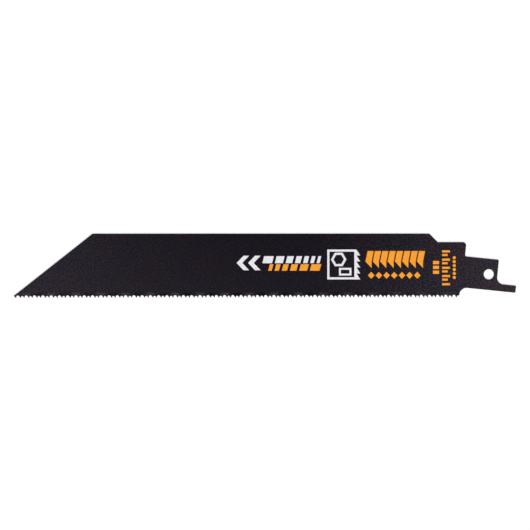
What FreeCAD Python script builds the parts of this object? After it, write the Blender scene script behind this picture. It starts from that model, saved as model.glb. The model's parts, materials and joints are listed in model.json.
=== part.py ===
import FreeCAD, Part
import math
import os

# Reciprocating saw blade, stamped and milled from one strip of bi-metal steel. Millimetres.
# The frame: the origin is the centre of the shank hole, halfway through the sheet. +X runs along
# the blade towards the end of the shank, so the nose lies at -X. +Y points to the back edge and
# the teeth point to -Y. +Z is square to the sheet.

# Strip that the blade is cut from
sheet_thickness = 1.07
back_to_hole = 16.07
hole_to_tips = 9.13
edge_break = 0.12

# Teeth: coarse and fine gullets take turns, with a coarse one at each end of the row
inch = 25.4
coarse_teeth_per_inch = 14
fine_teeth_per_inch = 18
toothed_length = 172.8
hole_to_heel_tooth = 12.68
rake_angle = 6.0
back_angle = 52.0
gullet_radius_to_pitch = 0.34

# Wavy set: the toothed edge weaves from side to side, so that the cut is wider than the sheet
set_offset = 0.11
set_height = 2.1
tooth_pairs_in_wave = 3

# Nose and back edge
nose_ahead_of_teeth = 0.96
nose_above_tips = 0.9
nose_angle = 38.35
nose_corner_radius = 0.6
shoulder_height = 12.71
hole_to_chamfer_foot = 20.2
chamfer_angle = 45.0

# Shank, which leans down towards its end
shank_lean = 5.8
shank_above_hole = 6.12
shank_below_hole = 6.2
hole_radius = 2.02
hole_to_shoulder = 10.06
hole_to_shank_end = 3.43
hole_to_tail_end = 11.23
tail_width = 2.84
shoulder_corner_radius = 1.35
shank_root_radius = 0.6
shank_corner_radius = 0.5
tail_fillet_radius = 2.6
tail_corner_radius = 0.4
heel_radius = 2.92
hole_to_heel_round = 7.9

# How far the cutting shapes reach past the blade
overcut = 1.0

coarse_pitch = inch / coarse_teeth_per_inch
fine_pitch = inch / fine_teeth_per_inch
pair_pitch = coarse_pitch + fine_pitch
tooth_pairs = round((toothed_length - coarse_pitch) / pair_pitch)
heel_tooth = FreeCAD.Vector(-hole_to_heel_tooth, -hole_to_tips)
first_tooth = heel_tooth - FreeCAD.Vector(tooth_pairs * pair_pitch + coarse_pitch, 0)
bend_line = -hole_to_tips + set_height
half_sheet = sheet_thickness / 2


def heading(angle):
    """Unit vector at an angle in degrees, anticlockwise from +X."""
    turn = math.radians(angle)
    return FreeCAD.Vector(math.cos(turn), math.sin(turn))


def on_shank(along, across):
    """Point of the leaning shank, measured from the hole along its length and square to it."""
    return heading(-shank_lean) * along + heading(90 - shank_lean) * across


# The strip that is bent for the set ends on the shank side where the heel round meets the shank
strip_end = on_shank(-hole_to_heel_round, -shank_below_hole).x


def meet(point, angle, other, other_angle):
    """Where two lines cross, each given by a point on it and its direction."""
    step, other_step = heading(angle), heading(other_angle)
    gap = other - point
    reach = (gap.x * other_step.y - gap.y * other_step.x) / (step.x * other_step.y - step.y * other_step.x)
    return point + step * reach


def line(start, end):
    return Part.LineSegment(start, end).toShape()


def arc(start, middle, end):
    return Part.Arc(start, middle, end).toShape()


def corner_arc(before, corner, after, radius):
    """First, middle and last point of the arc that rounds a corner."""
    back = (before - corner).normalize()
    ahead = (after - corner).normalize()
    half_angle = back.getAngle(ahead) / 2
    inward = (back + ahead).normalize()
    run = radius / math.tan(half_angle)
    middle = corner + inward * (radius / math.sin(half_angle) - radius)
    return corner + back * run, middle, corner + ahead * run


def rounded_run(corners):
    """Edges through a list of (point, radius) corners. A radius of 0 keeps a corner sharp."""
    edges = []
    start = corners[0][0]
    for (before, _), (corner, radius), (after, _) in zip(corners, corners[1:], corners[2:]):
        end = corner
        if radius:
            first, middle, end = corner_arc(before, corner, after, radius)
            edges.append(line(start, first))
            edges.append(arc(first, middle, end))
        else:
            edges.append(line(start, corner))
        start = end
    edges.append(line(start, corners[-1][0]))
    return edges


def gullet_round(tip, pitch):
    """Centre and radius of the round at the top of the gullet on the shank side of a tooth tip."""
    radius = gullet_radius_to_pitch * pitch
    rake, back = math.radians(rake_angle), math.radians(back_angle)
    rise = math.cos(rake) * (pitch * math.sin(back) - radius) - radius * math.sin(back)
    rise = rise / math.cos(back - rake)
    run = (radius + rise * math.sin(rake)) / math.cos(rake)
    return tip + FreeCAD.Vector(run, rise), radius


def gullet(tip, pitch):
    """Rake face, round and back of one gullet, from a tooth tip to the next one towards the shank."""
    centre, radius = gullet_round(tip, pitch)
    rake_end = centre + heading(180 - rake_angle) * radius
    crown = centre + FreeCAD.Vector(0, radius)
    back_start = centre + heading(90 - back_angle) * radius
    next_tip = tip + FreeCAD.Vector(pitch, 0)
    return [line(tip, rake_end), arc(rake_end, crown, back_start), line(back_start, next_tip)]


def tooth_row():
    """The toothed edge from the first tooth at the nose to the heel tooth."""
    edges = []
    tip = first_tooth
    for number in range(2 * tooth_pairs + 1):
        pitch = fine_pitch if number % 2 else coarse_pitch
        edges += gullet(tip, pitch)
        tip = tip + FreeCAD.Vector(pitch, 0)
    return edges


def heel():
    """From the heel tooth up half a fine gullet, along a short land and round to the shank."""
    centre, radius = gullet_round(heel_tooth, fine_pitch)
    rake_end = centre + heading(180 - rake_angle) * radius
    round_middle = centre + heading(135 - rake_angle / 2) * radius
    land_start = centre + FreeCAD.Vector(0, radius)
    heel_centre = on_shank(-hole_to_heel_round, -shank_below_hole - heel_radius)
    drop = heel_centre.y - land_start.y
    land_end = heel_centre + FreeCAD.Vector(-math.sqrt(heel_radius**2 - drop**2), -drop)
    shank_edge = on_shank(-hole_to_heel_round, -shank_below_hole)
    chord_middle = (land_end + shank_edge) * 0.5
    heel_middle = heel_centre + (chord_middle - heel_centre).normalize() * heel_radius
    return [
        line(heel_tooth, rake_end),
        arc(rake_end, round_middle, land_start),
        line(land_start, land_end),
        arc(land_end, heel_middle, shank_edge),
    ]


def shank_and_back():
    """From the heel round along the shank, its tail and its shoulder, then the back edge and nose."""
    nose_tip = first_tooth + FreeCAD.Vector(-nose_ahead_of_teeth, nose_above_tips)
    back_corner = meet(nose_tip, nose_angle, FreeCAD.Vector(0, back_to_hole), 0)
    chamfer_foot = FreeCAD.Vector(-hole_to_chamfer_foot, shoulder_height)
    chamfer_top = meet(chamfer_foot, 180 - chamfer_angle, back_corner, 0)
    shoulder_face = on_shank(-hole_to_shoulder, 0)
    shoulder_corner = meet(chamfer_foot, 0, shoulder_face, 90 - shank_lean)
    tail_top = tail_width - shank_below_hole
    return rounded_run([
        (on_shank(-hole_to_heel_round, -shank_below_hole), 0),
        (on_shank(hole_to_tail_end, -shank_below_hole), tail_corner_radius),
        (on_shank(hole_to_tail_end, tail_top), tail_corner_radius),
        (on_shank(hole_to_shank_end, tail_top), tail_fillet_radius),
        (on_shank(hole_to_shank_end, shank_above_hole), shank_corner_radius),
        (on_shank(-hole_to_shoulder, shank_above_hole), shank_root_radius),
        (shoulder_corner, shoulder_corner_radius),
        (chamfer_foot, 0),
        (chamfer_top, 0),
        (back_corner, nose_corner_radius),
        (nose_tip, 0),
        (first_tooth, 0),
    ])


def blade_outline():
    """Face of the blade in plan, before its hole is punched."""
    return Part.Face(Part.Wire(tooth_row() + heel() + shank_and_back()))


def through_block(profile, depth):
    """Solid on both sides of the sheet's middle, as deep as is said, over a flat profile."""
    block = profile.extrude(FreeCAD.Vector(0, 0, depth))
    block.translate(FreeCAD.Vector(0, 0, -depth / 2))
    return block


def is_open_rim(edge):
    """True for an edge in a face of the sheet that doesn't lie on the bend line."""
    box = edge.BoundBox
    near = edge_break / 10
    in_face = abs(abs(edge.CenterOfMass.z) - half_sheet) < near and box.ZLength < near
    on_bend = abs(edge.CenterOfMass.y - bend_line) < near and box.YLength < near
    return in_face and not on_bend


def flat_part(outline):
    """The flat of the blade: all but the strip of teeth below the bend line, with its rims broken."""
    box = outline.BoundBox
    strip_room = Part.makeBox(
        strip_end - box.XMin + overcut,
        bend_line - box.YMin + overcut,
        sheet_thickness + 2 * overcut,
        FreeCAD.Vector(box.XMin - overcut, box.YMin - overcut, -half_sheet - overcut),
    )
    flat = through_block(outline, sheet_thickness).cut(strip_room)
    return flat.makeChamfer(edge_break, [edge for edge in flat.Edges if is_open_rim(edge)])


def swing(tooth):
    """Sideways offset of a tooth's tip, for its number from the heel. The heel tooth stays straight,
    and the first ones after it lean to the underside."""
    if tooth == 0:
        return 0
    return -set_offset * math.sin(math.tau * (tooth - 1) / (2 * tooth_pairs_in_wave))


def on_face(x, y, tip_offset):
    """Point on the upper face of the strip where it leans out to tip_offset at the tooth tips."""
    return FreeCAD.Vector(x, y, half_sheet + tip_offset * (bend_line - y) / set_height)


def sheet_block(corners):
    """Piece of sheet as deep as its thickness, from the corners of its upper face."""
    upper_face = Part.Face(Part.makePolygon(corners + corners[:1]))
    return upper_face.extrude(FreeCAD.Vector(0, 0, -sheet_thickness))


def set_strip(outline):
    """Strip below the bend line: each tooth is a leaning tab, and a web joins it to the next."""
    box = outline.BoundBox
    bottom = box.YMin - overcut
    half_foot = fine_pitch / 4
    last = 2 * tooth_pairs + 1
    tip = first_tooth
    crown = foot = box.XMin - overcut
    blocks = []
    for number in range(last + 1):
        pitch = fine_pitch if number % 2 else coarse_pitch
        offset, next_offset = swing(last - number), swing(last - number - 1)
        next_crown, next_foot = strip_end, strip_end
        if number < last:
            next_crown = gullet_round(tip, pitch)[0].x
            next_foot = tip.x + half_foot
        blocks.append(sheet_block([
            on_face(crown, bend_line, offset),
            on_face(next_crown, bend_line, offset),
            on_face(next_foot, bottom, offset),
            on_face(foot, bottom, offset),
        ]))
        tip = tip + FreeCAD.Vector(pitch, 0)
        crown, foot = next_crown, tip.x - half_foot
        if number < last:
            blocks.append(sheet_block([
                on_face(crown, bend_line, 0),
                on_face(foot, bottom, next_offset),
                on_face(next_foot, bottom, offset),
            ]))
    cutter = through_block(outline, sheet_thickness + 2 * set_offset + 2 * overcut)
    return blocks[0].multiFuse(blocks[1:]).common(cutter)


outline = blade_outline()
hole = through_block(Part.Face(Part.Wire(Part.makeCircle(hole_radius))), sheet_thickness + 2 * overcut)
blade = flat_part(outline).fuse(set_strip(outline)).removeSplitter().cut(hole)
os.makedirs("parts", exist_ok=True)
blade.exportStep("parts/saw_blade.step")
print(len(blade.Solids), "solid", blade.isValid(), round(blade.Volume, 3), blade.BoundBox)
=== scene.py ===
# Reciprocating saw blade: coating, print, floor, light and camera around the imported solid.
# Metres, in the part's own frame: the origin is the shank hole, +X runs to the end of the shank,
# +Y to the back edge, +Z out of the printed face. The print's own sizes are in millimetres.
import json
import math
import bmesh
import bpy
from mathutils import Matrix, Vector


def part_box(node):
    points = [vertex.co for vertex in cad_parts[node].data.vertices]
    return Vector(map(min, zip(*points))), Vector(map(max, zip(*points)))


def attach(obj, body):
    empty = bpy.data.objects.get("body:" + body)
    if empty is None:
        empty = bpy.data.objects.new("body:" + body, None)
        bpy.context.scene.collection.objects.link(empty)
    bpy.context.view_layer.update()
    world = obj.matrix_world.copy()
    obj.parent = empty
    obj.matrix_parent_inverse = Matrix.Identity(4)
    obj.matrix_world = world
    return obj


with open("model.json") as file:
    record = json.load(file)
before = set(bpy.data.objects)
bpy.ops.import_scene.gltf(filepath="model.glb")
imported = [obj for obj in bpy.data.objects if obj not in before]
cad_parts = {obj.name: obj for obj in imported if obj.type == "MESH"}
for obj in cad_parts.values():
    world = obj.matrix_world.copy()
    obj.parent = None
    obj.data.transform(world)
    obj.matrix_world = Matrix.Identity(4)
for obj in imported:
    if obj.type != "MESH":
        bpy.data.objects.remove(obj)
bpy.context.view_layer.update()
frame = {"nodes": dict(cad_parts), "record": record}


# Blade
# One stamped strip of spring steel with a hard steel edge, its teeth milled and set. It is dipped or
# sprayed all over with a thin satin black coating, which is baked on and dries with a fine grain.

grain_height = 0.00003


def add_node(tree, kind, values=None, **settings):
    """Adds a node, with its settings and the values of its input sockets."""
    made = tree.nodes.new(kind)
    for setting, value in settings.items():
        setattr(made, setting, value)
    for socket, value in (values or {}).items():
        made.inputs[socket].default_value = value
    return made


def new_material(name):
    """A material with one shader and its output. Returns the material, its tree and the shader."""
    material = bpy.data.materials.new(name)
    material.use_nodes = True
    tree = material.node_tree
    tree.nodes.clear()
    shader = add_node(tree, "ShaderNodeBsdfPrincipled")
    output = add_node(tree, "ShaderNodeOutputMaterial")
    tree.links.new(shader.outputs["BSDF"], output.inputs["Surface"])
    return material, tree, shader


def spray_grain_group():
    """Fine grain of a sprayed coat: a mask from 0 to 1, and a height for a bump."""
    group = bpy.data.node_groups.new("spray_grain", "ShaderNodeTree")
    sockets = group.interface
    sockets.new_socket("Position", in_out="INPUT", socket_type="NodeSocketVector")
    sockets.new_socket("Grains per metre", in_out="INPUT", socket_type="NodeSocketFloat")
    sockets.new_socket("Mask", in_out="OUTPUT", socket_type="NodeSocketFloat")
    sockets.new_socket("Height", in_out="OUTPUT", socket_type="NodeSocketFloat")
    inside = add_node(group, "NodeGroupInput")
    outside = add_node(group, "NodeGroupOutput")
    coarse = add_node(group, "ShaderNodeTexNoise", {"Detail": 5.0, "Roughness": 0.68})
    finer = add_node(group, "ShaderNodeMath", {1: 2.9}, operation="MULTIPLY")
    fine = add_node(group, "ShaderNodeTexNoise", {"Detail": 3.0, "Roughness": 0.6})
    blend = add_node(group, "ShaderNodeMix", {"Factor": 0.4}, data_type="FLOAT")
    spread = add_node(group, "ShaderNodeMapRange", {"From Min": 0.495, "From Max": 0.57})
    link = group.links.new
    link(inside.outputs["Position"], coarse.inputs["Vector"])
    link(inside.outputs["Grains per metre"], coarse.inputs["Scale"])
    link(inside.outputs["Grains per metre"], finer.inputs[0])
    link(inside.outputs["Position"], fine.inputs["Vector"])
    link(finer.outputs[0], fine.inputs["Scale"])
    link(coarse.outputs["Fac"], blend.inputs["A"])
    link(fine.outputs["Fac"], blend.inputs["B"])
    link(blend.outputs["Result"], spread.inputs["Value"])
    link(spread.outputs["Result"], outside.inputs["Mask"])
    link(blend.outputs["Result"], outside.inputs["Height"])
    return group


spray_grain = spray_grain_group()


def grained_material(name, grains_per_metre, dull, glossy, bump_strength):
    """A material whose roughness and bump follow the grain: dull between grains, glossy on them.

    Returns the material, its tree and its shader, then the nodes of the place and of the grain.
    """
    material, tree, shader = new_material(name)
    link = tree.links.new
    place = add_node(tree, "ShaderNodeTexCoord")
    grain = add_node(tree, "ShaderNodeGroup", node_tree=spray_grain)
    grain.inputs["Grains per metre"].default_value = grains_per_metre
    sheen = add_node(tree, "ShaderNodeMapRange", {"To Min": dull, "To Max": glossy})
    bump = add_node(tree, "ShaderNodeBump", {"Strength": bump_strength, "Distance": grain_height})
    link(place.outputs["Object"], grain.inputs["Position"])
    link(grain.outputs["Mask"], sheen.inputs["Value"])
    link(sheen.outputs["Result"], shader.inputs["Roughness"])
    link(grain.outputs["Height"], bump.inputs["Height"])
    link(bump.outputs["Normal"], shader.inputs["Normal"])
    return material, tree, shader, place, grain


def two_tones(tree, low, high):
    """A mix of two colours: low at factor 0 and high at factor 1."""
    mix = add_node(tree, "ShaderNodeMix", data_type="RGBA")
    mix.inputs["A"].default_value = (*low, 1)
    mix.inputs["B"].default_value = (*high, 1)
    return mix


def black_coating():
    """Satin black baked coating: grained, slightly uneven in tone, with warmer clouds.

    Towards both ends of the blade its colour is lifted and tinted, as a painted sheen that stands
    in for the soft boxes' reflection, so its grain stands out more there than near the middle.
    """
    # Painted sheen: the colour is lifted more the farther along the blade it lies from this point.
    least_painted_sheen_x = -0.105
    material, tree, shader, place, grain = grained_material(
        "black_coating", grains_per_metre=1750.0, dull=0.23, glossy=0.2, bump_strength=0.3)
    link = tree.links.new
    clouds = add_node(tree, "ShaderNodeTexNoise", {"Scale": 70.0, "Detail": 3.0, "Roughness": 0.55})
    cloud_mask = add_node(tree, "ShaderNodeMapRange", {"From Min": 0.42, "From Max": 0.66})
    cool_tone = two_tones(tree, low=(0.0004, 0.0, 0.0024), high=(0.0132, 0.0104, 0.0178))
    warm_tone = two_tones(tree, low=(0.0012, 0.0, 0.0014), high=(0.015, 0.0104, 0.0154))
    tone = add_node(tree, "ShaderNodeMix", data_type="RGBA")
    split = add_node(tree, "ShaderNodeSeparateXYZ")
    from_least_painted_sheen = add_node(tree, "ShaderNodeMath", {1: least_painted_sheen_x}, operation="SUBTRACT")
    distance = add_node(tree, "ShaderNodeMath", operation="ABSOLUTE")
    painted_sheen_towards_ends = add_node(tree, "ShaderNodeMapRange", {"From Min": 0.035, "From Max": 0.13})
    # Painted sheen: how much the colour is lifted and tinted towards both ends of the blade.
    painted_sheen_lift = two_tones(tree, low=(1, 1, 1), high=(4.0, 4.4, 3.15))
    grain_with_painted_sheen = add_node(tree, "ShaderNodeVectorMath", operation="MULTIPLY")
    link(place.outputs["Object"], clouds.inputs["Vector"])
    link(place.outputs["Object"], split.inputs["Vector"])
    link(split.outputs["X"], from_least_painted_sheen.inputs[0])
    link(from_least_painted_sheen.outputs[0], distance.inputs[0])
    link(distance.outputs[0], painted_sheen_towards_ends.inputs["Value"])
    link(painted_sheen_towards_ends.outputs["Result"], painted_sheen_lift.inputs["Factor"])
    link(clouds.outputs["Fac"], cloud_mask.inputs["Value"])
    link(grain.outputs["Mask"], cool_tone.inputs["Factor"])
    link(grain.outputs["Mask"], warm_tone.inputs["Factor"])
    link(cloud_mask.outputs["Result"], tone.inputs["Factor"])
    link(cool_tone.outputs["Result"], tone.inputs["A"])
    link(warm_tone.outputs["Result"], tone.inputs["B"])
    link(tone.outputs["Result"], grain_with_painted_sheen.inputs[0])
    link(painted_sheen_lift.outputs["Result"], grain_with_painted_sheen.inputs[1])
    link(grain_with_painted_sheen.outputs["Vector"], shader.inputs["Base Color"])
    shader.inputs["Specular IOR Level"].default_value = 0.071
    shader.inputs["Specular Tint"].default_value = (0.94, 0.86, 1, 1)
    return material


blade = frame["nodes"]["saw_blade"]
blade.data.materials.clear()
blade.data.materials.append(black_coating())


# Arrows
# Two chevrons in white ink that point to the nose. All the print on the blade is screen printed
# over the coating, in a film of ink that stands a hair above it.

ink_depth = 0.00002
mounts = {mount["name"]: mount for mount in frame["record"]["mounts"]}
printed_face = mounts["shank_face"]["pos_m"][2]
millimetre = 0.001


def ink_material(name, pale, deep):
    """Matt ink with slightly uneven cover: two tones of one colour over the grain of the coat."""
    material, tree, shader, _, grain = grained_material(
        name, grains_per_metre=1700.0, dull=0.62, glossy=0.5, bump_strength=0.2)
    tone = two_tones(tree, low=deep, high=pale)
    tree.links.new(grain.outputs["Mask"], tone.inputs["Factor"])
    tree.links.new(tone.outputs["Result"], shader.inputs["Base Color"])
    shader.inputs["Specular IOR Level"].default_value = 0.15
    return material


def ink_film(name, shapes, material):
    """A film of ink over flat shapes. Each is a list of (x, y) in mm, or a pair of them for a ring."""
    mesh = bpy.data.meshes.new(name)
    build = bmesh.new()

    def corners(outline):
        return [build.verts.new((x * millimetre, y * millimetre, printed_face)) for x, y in outline]

    for shape in shapes:
        if isinstance(shape, tuple):
            outer, inner = [corners(outline) for outline in shape]
            for here in range(len(outer)):
                after = (here + 1) % len(outer)
                build.faces.new((outer[here], outer[after], inner[after], inner[here]))
        else:
            build.faces.new(corners(shape))
    bmesh.ops.recalc_face_normals(build, faces=build.faces)
    raised = bmesh.ops.extrude_face_region(build, geom=build.faces[:])
    lifted = [item for item in raised["geom"] if isinstance(item, bmesh.types.BMVert)]
    bmesh.ops.translate(build, verts=lifted, vec=(0, 0, ink_depth))
    bmesh.ops.recalc_face_normals(build, faces=build.faces)
    build.to_mesh(mesh)
    build.free()
    film = bpy.data.objects.new(name, mesh)
    bpy.context.scene.collection.objects.link(film)
    mesh.materials.append(material)
    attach(film, "root")


def chevron(tip_x, middle_y, height, reach, stroke):
    """Arrow head whose tip points to the nose."""
    half = height / 2
    return [
        (tip_x, middle_y),
        (tip_x + reach, middle_y - half),
        (tip_x + reach + stroke, middle_y - half),
        (tip_x + stroke, middle_y),
        (tip_x + reach + stroke, middle_y + half),
        (tip_x + reach, middle_y + half),
    ]


white_ink = ink_material("white_ink", pale=(0.9, 0.895, 0.93), deep=(0.72, 0.715, 0.745))
arrow_tips = (-99.4, -94.9)
arrows = [chevron(tip, middle_y=4.55, height=5.7, reach=2.7, stroke=2.2) for tip in arrow_tips]
ink_film("arrows", arrows, white_ink)


# Bars
# Two staggered rows of slanted bars beside the arrows. The white ones get narrower away from the
# arrows. The orange ones below are the six widest, and get wider away from the arrows.

bar_gap = 1.1
bar_slant = 0.7
widest_bar = 3.8
bar_taper = 0.82
bar_widths = [widest_bar * bar_taper ** step for step in range(7)]


def bar_row(left, low, high, widths):
    """Row of upright bars whose tops lean towards the shank."""
    bars = []
    for width in widths:
        right = left + width
        bars.append([(left, low), (right, low), (right + bar_slant, high), (left + bar_slant, high)])
        left = right + bar_gap
    return bars


orange_ink = ink_material("orange_ink", pale=(0.98, 0.41, 0.03), deep=(0.88, 0.31, 0.018))
ink_film("white_bars", bar_row(-89.3, low=4.45, high=7.2, widths=bar_widths), white_ink)
ink_film("orange_bars", bar_row(-87.05, low=1.5, high=4.05, widths=bar_widths[5::-1]), orange_ink)


# Pictogram
# A white frame round two sections of the metal that the teeth are cut for: a tube with six sides
# and a rectangular tube. Small teeth stand along the frame's shank side.

def box_outline(left, low, right, high):
    """Upright rectangle."""
    return [(left, low), (right, low), (right, high), (left, high)]


def box_ring(left, low, right, high, line):
    """Upright rectangle that is drawn with a line: its outer and its inner outline."""
    inner = box_outline(left + line, low + line, right - line, high - line)
    return box_outline(left, low, right, high), inner


def polygon(centre_x, centre_y, radius, sides):
    """Regular polygon with one corner towards the shank."""
    turns = [math.tau * side / sides for side in range(sides)]
    return [(centre_x + radius * math.cos(t), centre_y + radius * math.sin(t)) for t in turns]


frame_left, frame_low, frame_right, frame_high = -63.8, -1.95, -52.3, 9.8
tube_x, tube_y, tube_outer, tube_inner = -59.3, 5.9, 3.05, 2.05
tooth_count, tooth_reach = 5, 1.5
tooth_step = (frame_high - frame_low) / tooth_count
pictogram = [
    box_ring(frame_left, frame_low, frame_right, frame_high, line=0.85),
    (polygon(tube_x, tube_y, tube_outer, sides=6), polygon(tube_x, tube_y, tube_inner, sides=6)),
    box_ring(left=-59.2, low=-0.4, right=-54.3, high=2.6, line=0.75),
]
for tooth in range(tooth_count):
    low = frame_low + tooth * tooth_step
    tip = (frame_right + tooth_reach, low)
    pictogram.append([(frame_right, low), tip, (frame_right, low + tooth_step)])
ink_film("pictogram", pictogram, white_ink)


# Tooth band
# The largest field of print: a row of orange blocks, each with one saw tooth at its lower end, over
# a row of lozenges.

band_left, band_high, band_root, band_tip = -48.75, 9.2, 5.1, 2.5
block_width, block_step, block_slant = 2.4, 2.9, 0.85
blocks = []
for number in range(8):
    left = band_left + number * block_step
    blocks.append([
        (left, band_root),
        (left + block_width, band_tip),
        (left + block_width, band_root),
        (left + block_width + block_slant, band_high),
        (left + block_slant, band_high),
    ])
ink_film("tooth_band", blocks, orange_ink)

first_lozenge_x, lozenge_y, lozenge_step = -46.5, -0.35, 3.03
lozenge_half_height, lozenge_half_width = 1.35, 1.3
lozenges = []
for number in range(7):
    x = first_lozenge_x + number * lozenge_step
    lozenges.append([
        (x - lozenge_half_width, lozenge_y),
        (x, lozenge_y - lozenge_half_height),
        (x + lozenge_half_width, lozenge_y),
        (x, lozenge_y + lozenge_half_height),
    ])
ink_film("lozenges", lozenges, orange_ink)


# Scale marks
# Three orange columns across the blade by the shank: blocks, then ticks that are spaced like the
# coarse and fine teeth, then dots.

column_left, column_right, mark_height = -22.1, -19.7, 1.3
marks = [box_outline(column_left, low, column_right, low + mark_height) for low in (0.2, 2.1, 4.0)]
ink_film("block_column", marks, orange_ink)

inch = 25.4
coarse_pitch, fine_pitch = inch / 14, inch / 18
tick_left, tick_y, tick_height = -18.5, -4.3, 0.85
long_tick, short_tick = 3.1, 2.2
ticks = []
for number in range(9):
    tick_right = tick_left + (short_tick if number % 2 else long_tick)
    ticks.append(box_outline(tick_left, tick_y, tick_right, tick_y + tick_height))
    tick_y += fine_pitch if number % 2 else coarse_pitch
ink_film("tick_column", ticks, orange_ink)

dot_x, lowest_dot_y, dot_step, dot_radius = -13.7, -1.2, 1.55, 0.62
dot_heights = [lowest_dot_y + dot_step * number for number in range(6)]
dots = [polygon(dot_x, dot_y, dot_radius, sides=24) for dot_y in dot_heights]
ink_film("dot_column", dots, orange_ink)


# Floor
# A pale sheet that the blade lies on. It glows a little, as a light table does, so that it stays
# white up to the edges of the blade.

floor_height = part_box("saw_blade")[0].z
floor_half = 2.0
floor_mesh = bpy.data.meshes.new("floor")
floor_corners = box_outline(-floor_half, -floor_half, floor_half, floor_half)
floor_mesh.from_pydata([(x, y, floor_height) for x, y in floor_corners], [], [(0, 1, 2, 3)])
floor = bpy.data.objects.new("floor", floor_mesh)
bpy.context.scene.collection.objects.link(floor)
floor_paint, _, floor_shader = new_material("floor_paint")
floor_shader.inputs["Base Color"].default_value = (0.4, 0.4, 0.4, 1)
floor_shader.inputs["Roughness"].default_value = 0.9
floor_shader.inputs["Emission Color"].default_value = (1, 1, 1, 1)
floor_shader.inputs["Emission Strength"].default_value = 0.64
floor_mesh.materials.append(floor_paint)


# Light
# Three soft boxes, one past each end of the blade and one past its teeth, in a grey room with pale
# walls and a dark ceiling. Nothing bright hangs over the blade, so its black face stays dark.

# The point, near the middle of the blade, that the camera and the soft boxes are turned to.
blade_middle = Vector((-0.08827, 0.00375, 0))
soft_box_side = 0.36
wall_grey, ceiling_grey = 0.5, 0.03


def soft_box(name, offset, power, colour=(1, 1, 1)):
    """Square area light at an offset from the blade's middle, turned towards it."""
    lamp = bpy.data.lights.new(name, "AREA")
    lamp.size = soft_box_side
    lamp.energy = power
    lamp.color = colour
    holder = bpy.data.objects.new(name, lamp)
    holder.location = blade_middle + Vector(offset)
    holder.rotation_euler = (-Vector(offset)).to_track_quat("-Z", "Y").to_euler()
    bpy.context.scene.collection.objects.link(holder)


soft_box("soft_box_nose", offset=(-0.19, -0.09, 1.0), power=1.12)
soft_box("soft_box_teeth", offset=(0, -0.33, 1.0), power=7.3)
soft_box("soft_box_shank", offset=(0.39, -0.05, 1.0), power=2.2, colour=(1, 0.95, 0.97))
room = bpy.data.worlds.new("room")
room.use_nodes = True
room_tree = room.node_tree
direction = add_node(room_tree, "ShaderNodeTexCoord")
split = add_node(room_tree, "ShaderNodeSeparateXYZ")
shade = {"From Max": 0.85, "To Min": wall_grey, "To Max": ceiling_grey}
walls = add_node(room_tree, "ShaderNodeMapRange", shade)
room_tree.links.new(direction.outputs["Generated"], split.inputs["Vector"])
room_tree.links.new(split.outputs["Z"], walls.inputs["Value"])
room_tree.links.new(walls.outputs["Result"], room_tree.nodes["Background"].inputs["Color"])
bpy.context.scene.world = room
bpy.context.scene.view_settings.view_transform = "Standard"


# Camera
# It looks down on the blade from a metre up, leaning a little towards the shank, so that the shank
# end is slightly farther away than the nose.

view_distance = 1.0
view_lean = math.radians(3.07)
view_roll = 0.00095
aim = blade_middle + Vector((0, 0, printed_face))
forward = Vector((math.sin(view_lean), 0, -math.cos(view_lean)))
right = Vector((math.cos(view_lean), 0, math.sin(view_lean)))
up = right.cross(forward)
turn = Matrix((right, up, -forward)).transposed().to_4x4()
camera_data = bpy.data.cameras.new("camera")
camera_data.sensor_width = 36
camera_data.lens = 173.32
camera = bpy.data.objects.new("camera", camera_data)
camera.matrix_world = (
    Matrix.Translation(aim - forward * view_distance)
    @ turn
    @ Matrix.Rotation(-view_roll, 4, "Z")
)
bpy.context.scene.collection.objects.link(camera)
bpy.context.scene.camera = camera
